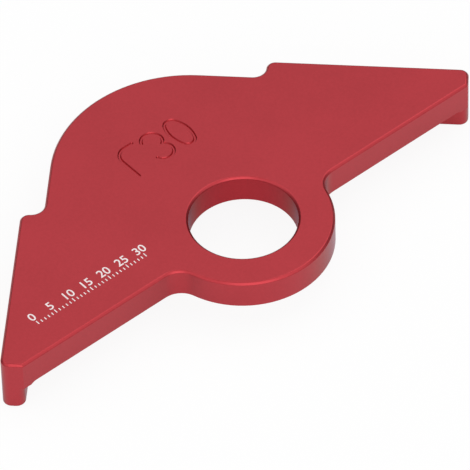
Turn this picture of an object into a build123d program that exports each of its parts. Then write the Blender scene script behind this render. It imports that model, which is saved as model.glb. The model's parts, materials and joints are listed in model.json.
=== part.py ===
from build123d import *
from math import acos, degrees, sqrt
import os

# Corner radius router jig: one block of milled aluminium. A flat plate lies on
# a board, two fences hang below it along the board's edges, and a router bit's
# bearing follows the plate's rounded corner. A round lobe with a finger hole
# stands out of the long diagonal side.
#
# Frame: the origin is the point where the board's square corner sits, on the
# plate's underside and on the inner face of both fences. +X and +Y run along
# the board's edges, and +Z points up, out of the board. The jig is symmetric
# about the vertical plane between +X and +Y. Lengths are in millimetres.

os.makedirs("parts", exist_ok=True)

# Plate
plate_thickness = 7.3
guide_radius = 30.0

# Fences, which start some way from the board's corner
fence_start = 45.0
fence_length = 45.0
fence_thickness = 5.0
fence_depth = 6.0
fence_corner_radius = 2.0

# Finger hole, its place along X and along Y, and the lobe around it
hole_offset = 43.5
hole_radius = 12.0
lobe_radius = 20.0
lobe_fillet_radius = 5.0

# Broken edges. The conical cutter that breaks the underside's edges can't
# reach into the corner under a fence, so each run of it stops short of one.
edge_break = 0.5
cutter_tip_radius = 1.5
diagonal_stop = 2.4
notch_stop = 4.5

# The fences end here. The notch before each of them is an S of two quarter
# arcs, so the inside one takes what the fence's corner leaves of the fence's
# thickness.
fence_end = fence_start + fence_length
notch_radius = fence_thickness - fence_corner_radius

# The diagonal joins the fences' inner end corners. The lobe's fillets start at
# lobe_root along it, on each side of its middle, and turn by lobe_turn.
lobe_inset = (fence_end - 2 * hole_offset) / sqrt(2)
fillet_rise = (lobe_fillet_radius + lobe_inset) / (lobe_radius + lobe_fillet_radius)
lobe_turn = degrees(acos(fillet_rise))
lobe_root = (lobe_radius + lobe_fillet_radius) * sqrt(1 - fillet_rise**2)

symmetry_plane = Plane((0, 0, 0), x_dir=(1, 1, 0), z_dir=(1, -1, 0))


def diagonal_point(along, out):
    """A point by its distance from the diagonal's middle and outwards from it."""
    middle = fence_end / 2
    return (middle + (out + along) / sqrt(2), middle + (out - along) / sqrt(2))


def draw_half_lobe(start, out):
    """Draw from a point of the diagonal to the lobe's tip, moved outwards."""
    Line(start, diagonal_point(lobe_root, out))
    root_centre = diagonal_point(lobe_root, lobe_fillet_radius)
    CenterArc(root_centre, lobe_fillet_radius - out, 225, -lobe_turn)
    CenterArc((hole_offset, hole_offset), lobe_radius + out, 45 - lobe_turn, lobe_turn)


def draw_half_guide(end_x, out):
    """Draw from the middle of the guide corner along its run-out, moved outwards."""
    CenterArc((guide_radius, guide_radius), guide_radius + out, 225, 45)
    Line((guide_radius, -out), (end_x, -out))


# Outline of the plate, one half drawn from the guide corner round the notch,
# the fence and the diagonal to the lobe's tip. The notch's inside arc and both
# of the fence's corners have their centres at arc_y.
arc_y = -notch_radius
near_x = fence_start + fence_corner_radius
far_x = fence_end - fence_corner_radius
with BuildSketch() as plate_outline:
    with BuildLine():
        draw_half_guide(fence_start - notch_radius, 0)
        CenterArc((fence_start - notch_radius, arc_y), notch_radius, 90, -90)
        CenterArc((near_x, arc_y), fence_corner_radius, 180, 90)
        Line((near_x, -fence_thickness), (far_x, -fence_thickness))
        CenterArc((far_x, arc_y), fence_corner_radius, 270, 90)
        Line((fence_end, arc_y), (fence_end, 0))
        draw_half_lobe((fence_end, 0), 0)
        mirror(about=symmetry_plane)
    make_face()

# Outline of both fences
with BuildSketch() as fence_outline:
    with Locations((fence_start, -fence_thickness)):
        Rectangle(fence_length, fence_thickness, align=Align.MIN)
    fillet(fence_outline.vertices(), fence_corner_radius)
    mirror(about=symmetry_plane)

# Tracks of the cutter along the underside's two free runs
track_radius = cutter_tip_radius + edge_break
with BuildSketch() as lobe_track:
    with BuildLine():
        run_start = fence_end / sqrt(2) - diagonal_stop * sqrt(2)
        draw_half_lobe(diagonal_point(run_start, cutter_tip_radius), cutter_tip_radius)
        mirror(about=symmetry_plane)
        offset(amount=track_radius)
    make_face()
with BuildSketch() as guide_track:
    with BuildLine():
        draw_half_guide(fence_start - notch_stop, cutter_tip_radius)
        mirror(about=symmetry_plane)
        offset(amount=track_radius)
    make_face()

# The block: the plate, the fences and the hole, and then the broken edges of
# the fences' feet, the top, and the underside's rim and free runs
with BuildPart() as jig_body:
    extrude(plate_outline.sketch, amount=plate_thickness)
    extrude(fence_outline.sketch, amount=-fence_depth)
    with Locations((hole_offset, hole_offset, plate_thickness)):
        Hole(hole_radius)
    for height in (-fence_depth, plate_thickness):
        level = jig_body.faces().filter_by_position(Axis.Z, height, height)
        chamfer(level.edges(), edge_break)
    underside = jig_body.faces().filter_by_position(Axis.Z, 0, 0)[0]
    chamfer(underside.inner_wires()[0].edges(), edge_break)
    for track in (lobe_track, guide_track):
        extrude(track.sketch, amount=2 * edge_break, taper=45, mode=Mode.SUBTRACT)

jig_body.part.label = "jig_body"
export_step(jig_body.part, "parts/jig_body.step")
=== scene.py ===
# %% [markdown]
# # A corner radius router jig in red anodised aluminium
#
# The real jig is one block of aluminium, milled, blasted to an even satin and
# dyed red. A woodworker lays it on a board's corner, and a trimming bit's
# bearing follows the round end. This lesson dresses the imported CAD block: it
# softens the edges, cuts the size mark into the top, marks a small white scale,
# and gives the metal its anodised skin.
#
# The CAD part is a fixed frame. It is loaded first, and its box is kept,
# because nothing that the lesson adds may reach outside it.

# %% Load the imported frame
import json
import math

import bmesh
import bpy
from mathutils import Matrix, Vector

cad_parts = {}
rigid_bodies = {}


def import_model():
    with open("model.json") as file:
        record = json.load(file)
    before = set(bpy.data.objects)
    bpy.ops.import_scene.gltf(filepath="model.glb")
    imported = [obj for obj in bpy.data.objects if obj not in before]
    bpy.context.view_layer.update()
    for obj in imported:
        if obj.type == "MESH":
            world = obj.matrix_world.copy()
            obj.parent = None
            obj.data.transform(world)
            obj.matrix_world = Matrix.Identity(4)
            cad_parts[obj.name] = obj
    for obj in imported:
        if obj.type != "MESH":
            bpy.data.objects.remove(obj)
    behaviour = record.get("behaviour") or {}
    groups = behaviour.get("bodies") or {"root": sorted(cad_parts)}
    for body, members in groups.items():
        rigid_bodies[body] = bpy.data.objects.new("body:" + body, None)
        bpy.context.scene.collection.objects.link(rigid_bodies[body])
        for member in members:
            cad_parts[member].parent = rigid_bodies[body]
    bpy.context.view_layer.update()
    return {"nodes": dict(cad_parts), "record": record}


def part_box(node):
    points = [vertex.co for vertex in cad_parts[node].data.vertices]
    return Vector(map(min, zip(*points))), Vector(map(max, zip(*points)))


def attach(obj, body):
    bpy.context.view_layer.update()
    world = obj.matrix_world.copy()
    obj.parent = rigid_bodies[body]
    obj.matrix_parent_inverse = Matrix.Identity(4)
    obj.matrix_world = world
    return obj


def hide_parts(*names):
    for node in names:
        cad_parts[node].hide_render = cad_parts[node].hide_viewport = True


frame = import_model()
block_low, block_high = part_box("jig_body")
MM = 0.001

# %% [markdown]
# ## The block's own mesh
#
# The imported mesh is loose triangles, which can't be bevelled or cut cleanly. So
# the lesson works on a copy: double vertices are merged, and triangles that lie
# in one plane are dissolved into whole faces. A new outline drawn by hand would
# also work, but a copy can't drift away from the CAD sizes.

# %% Merge a copy of the CAD mesh
MERGE_GAP = 0.001 * MM
FLAT_ANGLE = math.radians(0.2)

block_mesh = bmesh.new()
block_mesh.from_mesh(frame["nodes"]["jig_body"].data)
loose_count = len(block_mesh.verts)
bmesh.ops.remove_doubles(block_mesh, verts=block_mesh.verts, dist=MERGE_GAP)
bmesh.ops.dissolve_limit(
    block_mesh,
    angle_limit=FLAT_ANGLE,
    use_dissolve_boundaries=False,
    verts=block_mesh.verts,
    edges=block_mesh.edges,
    delimit=set(),
)


def count_open(mesh):
    """The number of edges that don't join exactly two faces."""
    return sum(not edge.is_manifold for edge in mesh.edges)


print("vertices:", loose_count, "loose,", len(block_mesh.verts), "merged")
print("faces:", len(block_mesh.faces), "open edges:", count_open(block_mesh))

# %% [markdown]
# ## Softened edges
#
# No real edge is a perfect corner. After milling, the blasting rounds each one
# by about a tenth of a millimetre, and that thin round is what catches the
# light along the chamfers. The level rims of the top, with the hole's mouth in
# it, and of the fences' feet are rounded with a bevel. The rims under the plate
# are left alone, because some of them run out beside the fences, to less than
# the bevel's width.

# %% Round the level rims
EDGE_ROUND = 0.13 * MM
ROUND_SEGMENTS = 3
SHARP_ANGLE = math.radians(30)
CHAMFER = 0.5 * MM
LEVEL_SLACK = 0.01 * MM
rim_heights = (block_high.z, block_high.z - CHAMFER, block_low.z, block_low.z + CHAMFER)


def is_level_rim(edge):
    """True for a sharp edge that lies level at one of the rim heights."""
    if not edge.is_manifold or edge.calc_face_angle(0) < SHARP_ANGLE:
        return False
    ends = [vertex.co.z for vertex in edge.verts]
    return any(max(abs(z - height) for z in ends) < LEVEL_SLACK for height in rim_heights)


rims = [edge for edge in block_mesh.edges if is_level_rim(edge)]
bmesh.ops.bevel(
    block_mesh,
    geom=rims,
    offset=EDGE_ROUND,
    offset_type="OFFSET",
    affect="EDGES",
    segments=ROUND_SEGMENTS,
    profile=0.5,
    material=-1,
    clamp_overlap=True,
)
print("rounded rims:", len(rims), "faces:", len(block_mesh.faces))

body_data = bpy.data.meshes.new("anodised_body")
block_mesh.to_mesh(body_data)
block_mesh.free()
body = bpy.data.objects.new("anodised_body", body_data)
bpy.context.collection.objects.link(body)

# %% [markdown]
# ## Where the marks go
#
# Both marks read along the long diagonal side. It is easiest to draw them on a
# flat sheet, with u to the right, v up and the sheet's zero at the board's
# corner, and to lay the finished sheet on the top face with one matrix.

# %% Lay a drawing sheet on the top face
HALF = math.sqrt(0.5)
sheet_to_plate = Matrix(
    (
        (-HALF, -HALF, 0, 0),
        (HALF, -HALF, 0, 0),
        (0, 0, 1, block_high.z),
        (0, 0, 0, 1),
    )
)


def sheet_object(name, mesh):
    """Turn a mesh drawn on the sheet, in millimetres, into an object on the plate."""
    bmesh.ops.scale(mesh, vec=(MM, MM, MM), verts=mesh.verts)
    bmesh.ops.transform(mesh, matrix=sheet_to_plate, verts=mesh.verts)
    bmesh.ops.recalc_face_normals(mesh, faces=mesh.faces)
    data = bpy.data.meshes.new(name)
    mesh.to_mesh(data)
    mesh.free()
    placed = bpy.data.objects.new(name, data)
    bpy.context.collection.objects.link(placed)
    return placed


print("sheet zero on the plate:", tuple(sheet_to_plate.translation))

# %% [markdown]
# ## The engraver's cutter
#
# The size mark is cut with a slim bit that has a flat tip and sloping sides. So
# each stroke is a narrow trough: its floor has the colour of the top, a wall
# that faces the viewer is bright, and a wall that faces aside is dark. Where
# the bit went in and came out, the trough has a round end. The bit's outline is
# swept just as the bit travels: extruded along straight runs, spun round arcs,
# and spun half round at both ends. A bump texture would be quicker, but it has
# no real walls to hold the dark.
#
# Half of the outline is enough, from the middle of the tip up one side to a
# little above the plate, where the cut runs clear.

# %% Shape the bit
GROOVE_DEPTH = 0.33
TIP_HALF_WIDTH = 0.19
SIDE_SLOPE = math.radians(57)
CLEAR = 0.1


def bit_half_width(height):
    """Half of the bit's width at a height over the plate, on its sloping side."""
    return TIP_HALF_WIDTH + (GROOVE_DEPTH + height) / math.tan(SIDE_SLOPE)


BIT_OUTLINE = (
    (0, -GROOVE_DEPTH),
    (TIP_HALF_WIDTH, -GROOVE_DEPTH),
    (bit_half_width(CLEAR), CLEAR),
)
print("groove:", round(2 * bit_half_width(0), 2), "mm wide,", GROOVE_DEPTH, "mm deep")

# %% Sweep one stroke
CAP_STEPS = 10
ARC_STEP = 9
FEWEST_STEPS = 4
DOUBLE_GAP = 0.002


def heading_axes(angle):
    """The directions ahead of the bit and to its left, on the sheet."""
    ahead = Vector((math.cos(angle), math.sin(angle), 0))
    return ahead, Vector((-ahead.y, ahead.x, 0))


def bit_section(mesh, tip, left):
    """The bit's whole outline as a closed loop of edges, across its heading."""
    right_side = [left * -across + Vector((0, 0, height)) for across, height in BIT_OUTLINE]
    left_side = [left * across + Vector((0, 0, height)) for across, height in BIT_OUTLINE[:0:-1]]
    top_middle = Vector((0, 0, CLEAR))
    loop = [mesh.verts.new(tip + point) for point in [*left_side, *right_side, top_middle]]
    return [mesh.edges.new((loop[i - 1], loop[i])) for i in range(len(loop))]


def spin_rim(mesh, rim, centre, angle, steps):
    """Spin a rim of edges about an upright axis, and give the edges where it ends."""
    verts = list({vertex for edge in rim for vertex in edge.verts})
    made = bmesh.ops.spin(
        mesh,
        geom=verts + rim,
        cent=centre,
        axis=(0, 0, 1),
        angle=angle,
        steps=steps,
        use_merge=False,
    )
    return [item for item in made["geom_last"] if isinstance(item, bmesh.types.BMEdge)]


def round_end(mesh, rim, tip, left, angle):
    """Spin the outline's right half round the bit's axis, to close one end of the groove."""
    half = [edge for edge in rim if sum((v.co - tip).dot(left) for v in edge.verts) < 0]
    spin_rim(mesh, half, tip, angle, CAP_STEPS)


def cut_stroke(name, start, heading, moves, closed=False):
    """A cutter swept from start. A move is ("run", length) or ("turn", radius, degrees).

    Headings and turns are counted from u towards v, so a right turn is below zero.
    """
    mesh = bmesh.new()
    tip = Vector((start[0], start[1], 0))
    angle = math.radians(heading)
    ahead, left = heading_axes(angle)
    rim = bit_section(mesh, tip, left)
    if not closed:
        round_end(mesh, rim, tip, left, -math.pi)
    for kind, size, *sweep in moves:
        if kind == "run":
            made = bmesh.ops.extrude_edge_only(mesh, edges=rim)["geom"]
            moved = {item for item in made if isinstance(item, bmesh.types.BMVert)}
            edges = [item for item in made if isinstance(item, bmesh.types.BMEdge)]
            rim = [edge for edge in edges if moved.issuperset(edge.verts)]
            bmesh.ops.translate(mesh, vec=ahead * size, verts=list(moved))
            tip += ahead * size
        else:
            turn = math.radians(sweep[0])
            steps = max(FEWEST_STEPS, round(abs(sweep[0]) / ARC_STEP))
            centre = tip + left * math.copysign(size, turn)
            rim = spin_rim(mesh, rim, centre, turn, steps)
            tip = centre + Matrix.Rotation(turn, 3, "Z") @ (tip - centre)
            angle += turn
            ahead, left = heading_axes(angle)
    if not closed:
        round_end(mesh, rim, tip, left, math.pi)
    bmesh.ops.remove_doubles(mesh, verts=mesh.verts, dist=DOUBLE_GAP)
    print(name, "faces:", len(mesh.faces), "open edges:", count_open(mesh))
    return sheet_object(name, mesh)


# %% [markdown]
# ## The size mark
#
# The mark says what the jig cuts: a plain corner symbol and the number 30, for
# a radius of 30 mm. The digits are arcs and straight runs, each a single line
# as an engraving machine draws it.

# %% Draw the corner symbol and the number
MARK_BASE = -36.75
MARK_HEIGHT = 8.7

SYMBOL_LEFT = -8.8
SYMBOL_TURN = 3.0
SYMBOL_ARM = 2.1
corner_symbol = cut_stroke(
    "corner_symbol",
    (SYMBOL_LEFT, MARK_BASE),
    90,
    [("run", MARK_HEIGHT - SYMBOL_TURN), ("turn", SYMBOL_TURN, -90), ("run", SYMBOL_ARM)],
)

THREE_MIDDLE = 0.05
BOWL_RADIUS = 2.4
BOWL_OPENING = 160
OVERSHOOT = 3
bowl_rise = MARK_HEIGHT / 2 - BOWL_RADIUS
waist_angle = math.degrees(math.asin(bowl_rise / BOWL_RADIUS))


def bowl_stroke(name, centre_height, first_angle, last_angle):
    """One bowl of the 3, cut clockwise between two angles of its circle."""
    first = math.radians(first_angle)
    start = (
        THREE_MIDDLE + BOWL_RADIUS * math.cos(first),
        centre_height + BOWL_RADIUS * math.sin(first),
    )
    moves = [("turn", BOWL_RADIUS, last_angle - first_angle)]
    return cut_stroke(name, start, first_angle - 90, moves)


mark_middle = MARK_BASE + MARK_HEIGHT / 2
upper_end = -waist_angle - OVERSHOOT
upper_stroke = bowl_stroke("three_upper", mark_middle + bowl_rise, BOWL_OPENING, upper_end)
lower_stroke = bowl_stroke("three_lower", mark_middle - bowl_rise, waist_angle, -BOWL_OPENING)

ZERO_LEFT = 4.15
ZERO_HALF_WIDTH = 2.3
ZERO_END_RADIUS = 1.7
end_rise = MARK_HEIGHT / 2 - ZERO_END_RADIUS
side_radius = (ZERO_HALF_WIDTH**2 + end_rise**2 - ZERO_END_RADIUS**2) / (
    2 * (ZERO_HALF_WIDTH - ZERO_END_RADIUS)
)
side_turn = math.degrees(math.atan2(end_rise, side_radius - ZERO_HALF_WIDTH))
zero_side = ("turn", side_radius, -side_turn)
zero_end = ("turn", ZERO_END_RADIUS, 2 * side_turn - 180)
half_zero = [zero_side, zero_end, zero_side]
zero_stroke = cut_stroke("zero", (ZERO_LEFT, mark_middle), 90, 2 * half_zero, closed=True)

size_cutters = [corner_symbol, upper_stroke, lower_stroke, zero_stroke]

# %% [markdown]
# ## The white scale
#
# A laser bleaches the dye and leaves a pale, slightly sunken trace. Here it
# draws a small scale with plain numbers beside the diagonal. The traces are
# shallow pockets of two hundredths of a millimetre, so the marking is part of
# the surface and no sheet floats over it. The numbers are text made into a
# mesh, and the ticks are flat bars.

# %% Draw the ticks and the numbers
SCALE_START = -53.2
SCALE_BASE = -56.5
TICK_GAP = 1.0
TICK_COUNT = 31
NUMBER_EVERY = 5
SHORT_TICK, LONG_TICK = 0.75, 1.1
NUMBER_SIZE, NUMBER_LIFT = 3.1, 1.5
TRACE_WIDTH = 0.24
TRACE_SPREAD = 0.03
TRACE_DEPTH = 0.02
CURVE_STEPS = 4
NUMBER_GAP = 0.0005


def add_bar(mesh, u, v, width, height):
    """A flat bar, sunk and raised by the trace's depth, from its lower middle."""
    made = bmesh.ops.create_cube(mesh, size=1)["verts"]
    bmesh.ops.scale(mesh, vec=(width, height, 2 * TRACE_DEPTH), verts=made)
    bmesh.ops.translate(mesh, vec=(u, v + height / 2, 0), verts=made)


def add_number(mesh, text, u, v, size):
    """A number as flat text, made into a mesh and centred on u."""
    curve = bpy.data.curves.new("number", "FONT")
    curve.body = text
    curve.size = size
    curve.align_x = "CENTER"
    curve.extrude = TRACE_DEPTH
    curve.offset = TRACE_SPREAD
    curve.resolution_u = CURVE_STEPS
    holder = bpy.data.objects.new("number", curve)
    flat = bpy.data.meshes.new_from_object(holder)
    bpy.data.objects.remove(holder)
    bpy.data.curves.remove(curve)
    before = set(mesh.verts)
    mesh.from_mesh(flat)
    bpy.data.meshes.remove(flat)
    made = [vertex for vertex in mesh.verts if vertex not in before]
    bmesh.ops.remove_doubles(mesh, verts=made, dist=NUMBER_GAP)
    made = [vertex for vertex in mesh.verts if vertex not in before]
    bmesh.ops.translate(mesh, vec=(u, v, 0), verts=made)


scale_traces = bmesh.new()
for i in range(TICK_COUNT):
    tick = SHORT_TICK if i % NUMBER_EVERY else LONG_TICK
    add_bar(scale_traces, SCALE_START + i * TICK_GAP, SCALE_BASE, TRACE_WIDTH, tick)
for i in range(0, TICK_COUNT, NUMBER_EVERY):
    place_u = SCALE_START + i * TICK_GAP
    add_number(scale_traces, str(i), place_u, SCALE_BASE + NUMBER_LIFT, NUMBER_SIZE)
scale_cutter = sheet_object("scale_cutter", scale_traces)
print("scale cutter faces:", len(scale_cutter.data.polygons))

# %% [markdown]
# ## The anodised skin
#
# Anodising grows a clear, hard oxide on the metal, and dye sits inside it. So
# the light does two things: most of it passes the oxide, meets the metal and
# comes back red, and a little glances off the clear surface and stays white.
# That is a red metal under a clear coat. Seen along its surface, bare metal
# turns white, but here the light has to pass the dye twice, so the metal's edge
# tint stays dull. The blasting before it leaves a fine grain, which breaks
# every reflection into a soft satin glow.
#
# Two finishes need that grain, so it is a node group: it puts out a height for
# the bump, and a tone that shifts colour and roughness a little.

# %% Make the blasted grain group
GRAIN_SIZES = [("Grain Scale", 1600.0), ("Cloud Scale", 60.0)]
FINE_DETAIL, FINE_ROUGHNESS = 3, 0.6
CLOUD_DETAIL, CLOUD_ROUGHNESS = 4, 0.55


def new_group(name, inputs, outputs):
    """A shader node group with named sockets, and its two end nodes."""
    group = bpy.data.node_groups.new(name, "ShaderNodeTree")
    for socket, value in inputs:
        made = group.interface.new_socket(socket, in_out="INPUT", socket_type="NodeSocketFloat")
        made.default_value = value
    for socket in outputs:
        group.interface.new_socket(socket, in_out="OUTPUT", socket_type="NodeSocketFloat")
    start = group.nodes.new("NodeGroupInput")
    end = group.nodes.new("NodeGroupOutput")
    return group, start, end


grain, grain_in, grain_out = new_group("blasted_grain", GRAIN_SIZES, ["Height", "Tone"])
place = grain.nodes.new("ShaderNodeTexCoord")


def grain_noise(scale, detail, roughness):
    """A noise on the piece's own coordinates, sized by one of the group's inputs."""
    noise = grain.nodes.new("ShaderNodeTexNoise")
    noise.inputs["Detail"].default_value = detail
    noise.inputs["Roughness"].default_value = roughness
    grain.links.new(place.outputs["Object"], noise.inputs["Vector"])
    grain.links.new(grain_in.outputs[scale], noise.inputs["Scale"])
    return noise.outputs["Fac"]


fine = grain_noise("Grain Scale", FINE_DETAIL, FINE_ROUGHNESS)
cloud = grain_noise("Cloud Scale", CLOUD_DETAIL, CLOUD_ROUGHNESS)
blend = grain.nodes.new("ShaderNodeMath")
blend.operation = "ADD"
grain.links.new(fine, blend.inputs[0])
grain.links.new(cloud, blend.inputs[1])
grain.links.new(fine, grain_out.inputs["Height"])
grain.links.new(blend.outputs["Value"], grain_out.inputs["Tone"])
print("group:", grain.name, "nodes:", len(grain.nodes))


# %% Make the red and the white finish
TONE_RANGE = (0.775, 1.225)
ROUGHNESS_SWING = 0.04
GRAIN_RELIEF = 0.01 * MM


def map_range(nodes, links, value, limits, results):
    """A node that carries a value's limits onto two results, which are numbers or colours."""
    node = nodes.new("ShaderNodeMapRange")
    if isinstance(results[0], tuple):
        node.data_type = "FLOAT_VECTOR"
        links.new(value, node.inputs["Vector"])
        grey_limits = [(limit, limit, limit) for limit in limits]
        for socket, colour in zip(node.inputs[7:11], (*grey_limits, *results)):
            socket.default_value = colour
        return node.outputs["Vector"]
    links.new(value, node.inputs["Value"])
    for socket, number in zip(node.inputs[1:5], (*limits, *results)):
        socket.default_value = number
    return node.outputs["Result"]


def blasted_material(name, dark, light, glance, metallic, roughness, bump):
    """A metal finish whose colour and roughness follow the grain's tone."""
    material = bpy.data.materials.new(name)
    material.use_nodes = True
    nodes, links = material.node_tree.nodes, material.node_tree.links
    shader = nodes["Principled BSDF"]
    shader.inputs["Metallic"].default_value = metallic
    shader.inputs["Specular Tint"].default_value = (*glance, 1)
    texture = nodes.new("ShaderNodeGroup")
    texture.node_tree = grain
    tone = texture.outputs["Tone"]
    colour = map_range(nodes, links, tone, TONE_RANGE, (dark, light))
    swing = (roughness - ROUGHNESS_SWING, roughness + ROUGHNESS_SWING)
    satin = map_range(nodes, links, tone, TONE_RANGE, swing)
    relief = nodes.new("ShaderNodeBump")
    relief.inputs["Strength"].default_value = bump
    relief.inputs["Distance"].default_value = GRAIN_RELIEF
    links.new(colour, shader.inputs["Base Color"])
    links.new(satin, shader.inputs["Roughness"])
    links.new(texture.outputs["Height"], relief.inputs["Height"])
    links.new(relief.outputs["Normal"], shader.inputs["Normal"])
    return material


red_anodised = blasted_material(
    "red_anodised",
    dark=(0.44, 0.008, 0.018),
    light=(0.49, 0.012, 0.024),
    glance=(0.36, 0.15, 0.36),
    metallic=1.0,
    roughness=0.36,
    bump=0.5,
)
bleached_trace = blasted_material(
    "bleached_trace",
    dark=(0.84, 0.74, 0.74),
    light=(0.93, 0.86, 0.86),
    glance=(1, 1, 1),
    metallic=0.1,
    roughness=0.6,
    bump=0.4,
)
print("materials:", red_anodised.name, bleached_trace.name)

# %% [markdown]
# The coat is made weaker on the finger hole's wall. That is painted shade: it dims the glint
# that the wall mirrors, as the shaded paper under the jig would. A mark on the mesh, which is
# set further on, tells the red finish where that wall is.

# %% Lay the clear oxide, with painted shade in the bore
# The bore's weaker coat is painted shade on the finger hole's wall.
CLEAR_COAT, SHADED_BORE_COAT = 0.95, 0.65
COAT_ROUGHNESS = 0.3
COAT_IOR = 1.5

red_nodes, red_links = red_anodised.node_tree.nodes, red_anodised.node_tree.links
oxide = red_nodes["Principled BSDF"]
oxide.inputs["Coat Roughness"].default_value = COAT_ROUGHNESS
oxide.inputs["Coat IOR"].default_value = COAT_IOR
wall = red_nodes.new("ShaderNodeAttribute")
wall.attribute_name = "bored"
coat = map_range(red_nodes, red_links, wall.outputs["Fac"], (0, 1), (CLEAR_COAT, SHADED_BORE_COAT))
red_links.new(coat, oxide.inputs["Coat Weight"])
print("nodes in the red finish:", len(red_nodes))

# %% [markdown]
# ## Cutting the marks
#
# Each cutter is taken out of the block with a boolean. The cutter's own
# material comes along onto the faces that it makes, so the grooves stay red
# and the laser's pockets are pale. The result is kept as a plain mesh, and the
# cutters are thrown away.

# %% Cut both marks into the body
body.data.materials.append(red_anodised)
for cutter in size_cutters:
    cutter.data.materials.append(red_anodised)
scale_cutter.data.materials.append(bleached_trace)


def cut_with(target, cutter):
    """Take the cutter out of the target for good."""
    cut = target.modifiers.new(cutter.name, "BOOLEAN")
    cut.operation = "DIFFERENCE"
    cut.solver = "EXACT"
    cut.use_self = True
    cut.material_mode = "TRANSFER"
    cut.object = cutter
    depsgraph = bpy.context.evaluated_depsgraph_get()
    result = bpy.data.meshes.new_from_object(target.evaluated_get(depsgraph))
    target.modifiers.clear()
    old = target.data
    target.data = result
    result.name = target.name
    bpy.data.meshes.remove(old)
    bpy.data.objects.remove(cutter)


for cutter in size_cutters + [scale_cutter]:
    before = len(body.data.polygons)
    cut_with(body, cutter)
    print("faces:", before, "->", len(body.data.polygons))

# %% [markdown]
# ## Shading the faces
#
# The walls are flat or round, and only the true corners are sharp. Every face
# is shaded smooth, the edges that turn by more than a set angle are marked
# sharp, and the larger face decides the direction at a shared corner, so the
# flats stay flat beside their rounded rims. Before that, slivers that the cuts
# left are closed up. The finger hole's wall gets a mark of its own, for the
# finish to read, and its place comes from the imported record.

# %% Mark the sharp edges and the bored wall
SHORTEST_EDGE = 0.002 * MM
BORE_MARGIN = 0.02 * MM
hole = next(mount for mount in frame["record"]["mounts"] if mount["name"] == "finger_hole")
hole_axis = Vector(hole["pos_m"]).xy
wall_reach = hole["dims"]["r_mm"] * MM + BORE_MARGIN

marked = bmesh.new()
marked.from_mesh(body.data)
bmesh.ops.dissolve_degenerate(marked, dist=SHORTEST_EDGE, edges=marked.edges)
for face in marked.faces:
    face.smooth = True
for edge in marked.edges:
    edge.smooth = edge.is_manifold and edge.calc_face_angle(0) < SHARP_ANGLE
print("open edges after the cuts:", count_open(marked))
print("volume in mm3:", round(marked.calc_volume() / MM**3, 1))

# This mark tells the red finish where to paint shade, with a weaker coat, on the hole's wall.
bored = marked.faces.layers.float.new("bored")
for face in marked.faces:
    from_axis = max((vertex.co.xy - hole_axis).length for vertex in face.verts)
    face[bored] = float(from_axis < wall_reach)
print("bored faces:", sum(face[bored] > 0 for face in marked.faces))
marked.to_mesh(body.data)
marked.free()
weights = body.modifiers.new("face_weights", "WEIGHTED_NORMAL")
weights.mode = "FACE_AREA"
weights.weight = 100
weights.keep_sharp = True
print("materials on the body:", [m.name for m in body.data.materials])

# %% Put the body on the frame
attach(body, "root")
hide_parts("jig_body")

# %% [markdown]
# ## The table
#
# The jig stands on a white table, which throws light back up at its walls and
# keeps its soft shadow. One large square lies just under the fences' feet. It
# reaches far enough that no edge of it comes into view.

# %% Lay the floor
FLOOR_REACH = 20.0

floor_mesh = bmesh.new()
bmesh.ops.create_grid(floor_mesh, x_segments=1, y_segments=1, size=FLOOR_REACH)
bmesh.ops.translate(floor_mesh, vec=(0, 0, block_low.z), verts=floor_mesh.verts)
floor_data = bpy.data.meshes.new("floor")
floor_mesh.to_mesh(floor_data)
floor_mesh.free()
floor = bpy.data.objects.new("floor", floor_data)
bpy.context.collection.objects.link(floor)
print("floor reaches", FLOOR_REACH, "m each way")

# %% [markdown]
# ## White paper that keeps the shadow
#
# For the camera most of the paper's white is a shine of its own. So the ground
# reads as white at a plain light level, and no extra light falls on the jig.
# The rest is real light on paper, which carries the shadow. In what the metal
# mirrors the shine is weaker and the shadow is stronger: that darkens the
# hollow corners and the hole's wall, which look out on the paper under the jig.
# From below the paper is clear, so a view from there still shows the jig.

# %% Make the paper
GROUND_GLOW = 0.91
MIRRORED_SHARE = 0.4

floor_paper = bpy.data.materials.new("floor_paper")
floor_paper.use_nodes = True
paper_nodes, paper_links = floor_paper.node_tree.nodes, floor_paper.node_tree.links
paper = paper_nodes["Principled BSDF"]
paper.inputs["Base Color"].default_value = (0.95, 0.95, 0.95, 1)
paper.inputs["Roughness"].default_value = 0.9
paper.inputs["Specular IOR Level"].default_value = 0.1
glow = paper_nodes.new("ShaderNodeEmission")
glow.inputs["Strength"].default_value = 1
clear = paper_nodes.new("ShaderNodeBsdfTransparent")
ray = paper_nodes.new("ShaderNodeLightPath").outputs
side = paper_nodes.new("ShaderNodeNewGeometry").outputs


def ray_value(operation, first, second):
    """A Math node on two values of the paper, the second a socket or a plain number."""
    node = paper_nodes.new("ShaderNodeMath")
    node.operation = operation
    paper_links.new(first, node.inputs[0])
    if isinstance(second, float):
        node.inputs[1].default_value = second
    else:
        paper_links.new(second, node.inputs[1])
    return node.outputs["Value"]


def mix_shaders(amount, first, second):
    """A shader that goes from the first to the second as the amount rises to 1."""
    node = paper_nodes.new("ShaderNodeMixShader")
    paper_links.new(amount, node.inputs["Fac"])
    paper_links.new(first, node.inputs[1])
    paper_links.new(second, node.inputs[2])
    return node.outputs["Shader"]


mirrored = ray_value("MULTIPLY", ray["Is Glossy Ray"], MIRRORED_SHARE)
seen = ray_value("MAXIMUM", ray["Is Camera Ray"], mirrored)
seen_through = ray_value("MAXIMUM", seen, ray["Is Transmission Ray"])
shine = ray_value("MULTIPLY", seen_through, GROUND_GLOW)
from_above = mix_shaders(shine, paper.outputs["BSDF"], glow.outputs["Emission"])
both_sides = mix_shaders(side["Backfacing"], from_above, clear.outputs["BSDF"])
paper_links.new(both_sides, paper_nodes["Material Output"].inputs["Surface"])
floor.data.materials.append(floor_paper)
print("nodes in the paper:", len(paper_nodes))

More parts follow.
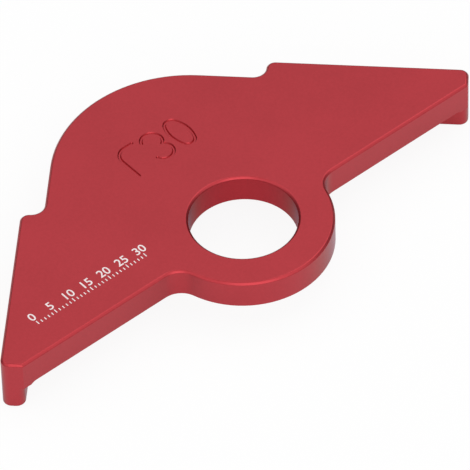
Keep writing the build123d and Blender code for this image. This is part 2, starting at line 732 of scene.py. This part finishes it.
# %% [markdown]
# ## Studio light
#
# Satin metal shows its surroundings more than its lamps, so the light is mostly
# a dome. Its axis leans a little from overhead towards the viewer. The dome is
# brightest in a broad ring about that axis, duller inside the ring, and dim
# near the horizon, which draws the thin bright and dark lines along the
# chamfers and in the grooves. Two large softboxes, one behind the viewer and
# one high at the back, lift what faces them.

# %% Set the dome
DOME_AZIMUTH, DOME_ELEVATION = math.radians(10), math.radians(75)
DOME_STRENGTH = 1.22
DOME_LEVELS = ((0.5, 0.15), (0.6, 0.25), (0.7, 0.5), (0.8, 1.0), (0.9, 0.88), (1.0, 0.5))

world = bpy.data.worlds.new("studio")
bpy.context.scene.world = world
world.use_nodes = True
sky_nodes, sky_links = world.node_tree.nodes, world.node_tree.links
sky = sky_nodes["Background"]
sky.inputs["Strength"].default_value = DOME_STRENGTH
direction = sky_nodes.new("ShaderNodeTexCoord")
nearness = sky_nodes.new("ShaderNodeVectorMath")
nearness.operation = "DOT_PRODUCT"
nearness.inputs[1].default_value = (
    math.cos(DOME_ELEVATION) * math.cos(DOME_AZIMUTH),
    math.cos(DOME_ELEVATION) * math.sin(DOME_AZIMUTH),
    math.sin(DOME_ELEVATION),
)
share = sky_nodes.new("ShaderNodeMapRange")
share.inputs["From Min"].default_value = -1
ramp = sky_nodes.new("ShaderNodeValToRGB")
while len(ramp.color_ramp.elements) < len(DOME_LEVELS):
    ramp.color_ramp.elements.new(0.5)
for element, (where, level) in zip(ramp.color_ramp.elements, DOME_LEVELS):
    element.position = where
    element.color = (level, level, level, 1)
sky_links.new(direction.outputs["Generated"], nearness.inputs[0])
sky_links.new(nearness.outputs["Value"], share.inputs["Value"])
sky_links.new(share.outputs["Result"], ramp.inputs["Fac"])
sky_links.new(ramp.outputs["Color"], sky.inputs["Color"])
print("dome levels:", [round(level * DOME_STRENGTH, 2) for _, level in DOME_LEVELS])


# %% Add the softboxes
LIGHT_TARGET = (0.04, 0.04, 0)


def add_softbox(name, place, size, radiance):
    """A square lamp that faces the jig, with its brightness as the eye would see it."""
    lamp = bpy.data.lights.new(name, "AREA")
    lamp.shape = "SQUARE"
    lamp.size = size
    lamp.energy = radiance * size * size * math.pi
    holder = bpy.data.objects.new(name, lamp)
    holder.location = place
    aim = Vector(LIGHT_TARGET) - Vector(place)
    holder.rotation_euler = aim.to_track_quat("-Z", "Y").to_euler()
    bpy.context.collection.objects.link(holder)


add_softbox("viewer_softbox", place=(1.46, 0.42, 1.03), size=1.42, radiance=0.85)
add_softbox("back_softbox", place=(-0.5, 0.49, 1.21), size=0.81, radiance=0.74)
print("lamps:", len(bpy.data.lights))

# %% [markdown]
# ## The camera
#
# The photograph was taken from far away with a long lens, so parallel edges
# stay nearly parallel. The numbers come from fitting a camera to the jig's
# outline with the round end's radius held at 30 mm.

# %% Place the camera
SENSOR_WIDTH, LENS = 36, 498.886
CAMERA_PLACE = (1.019113, 0.140964, 1.027631)
CAMERA_ANGLES = (43.69021, 1.24825, 94.51097)

camera_data = bpy.data.cameras.new("camera")
camera_data.sensor_width = SENSOR_WIDTH
camera_data.lens = LENS
camera = bpy.data.objects.new("camera", camera_data)
camera.location = CAMERA_PLACE
camera.rotation_euler = [math.radians(angle) for angle in CAMERA_ANGLES]
bpy.context.collection.objects.link(camera)
bpy.context.scene.camera = camera
bpy.context.scene.view_settings.view_transform = "Standard"
print("camera distance in m:", round((camera.location - Vector(LIGHT_TARGET)).length, 3))
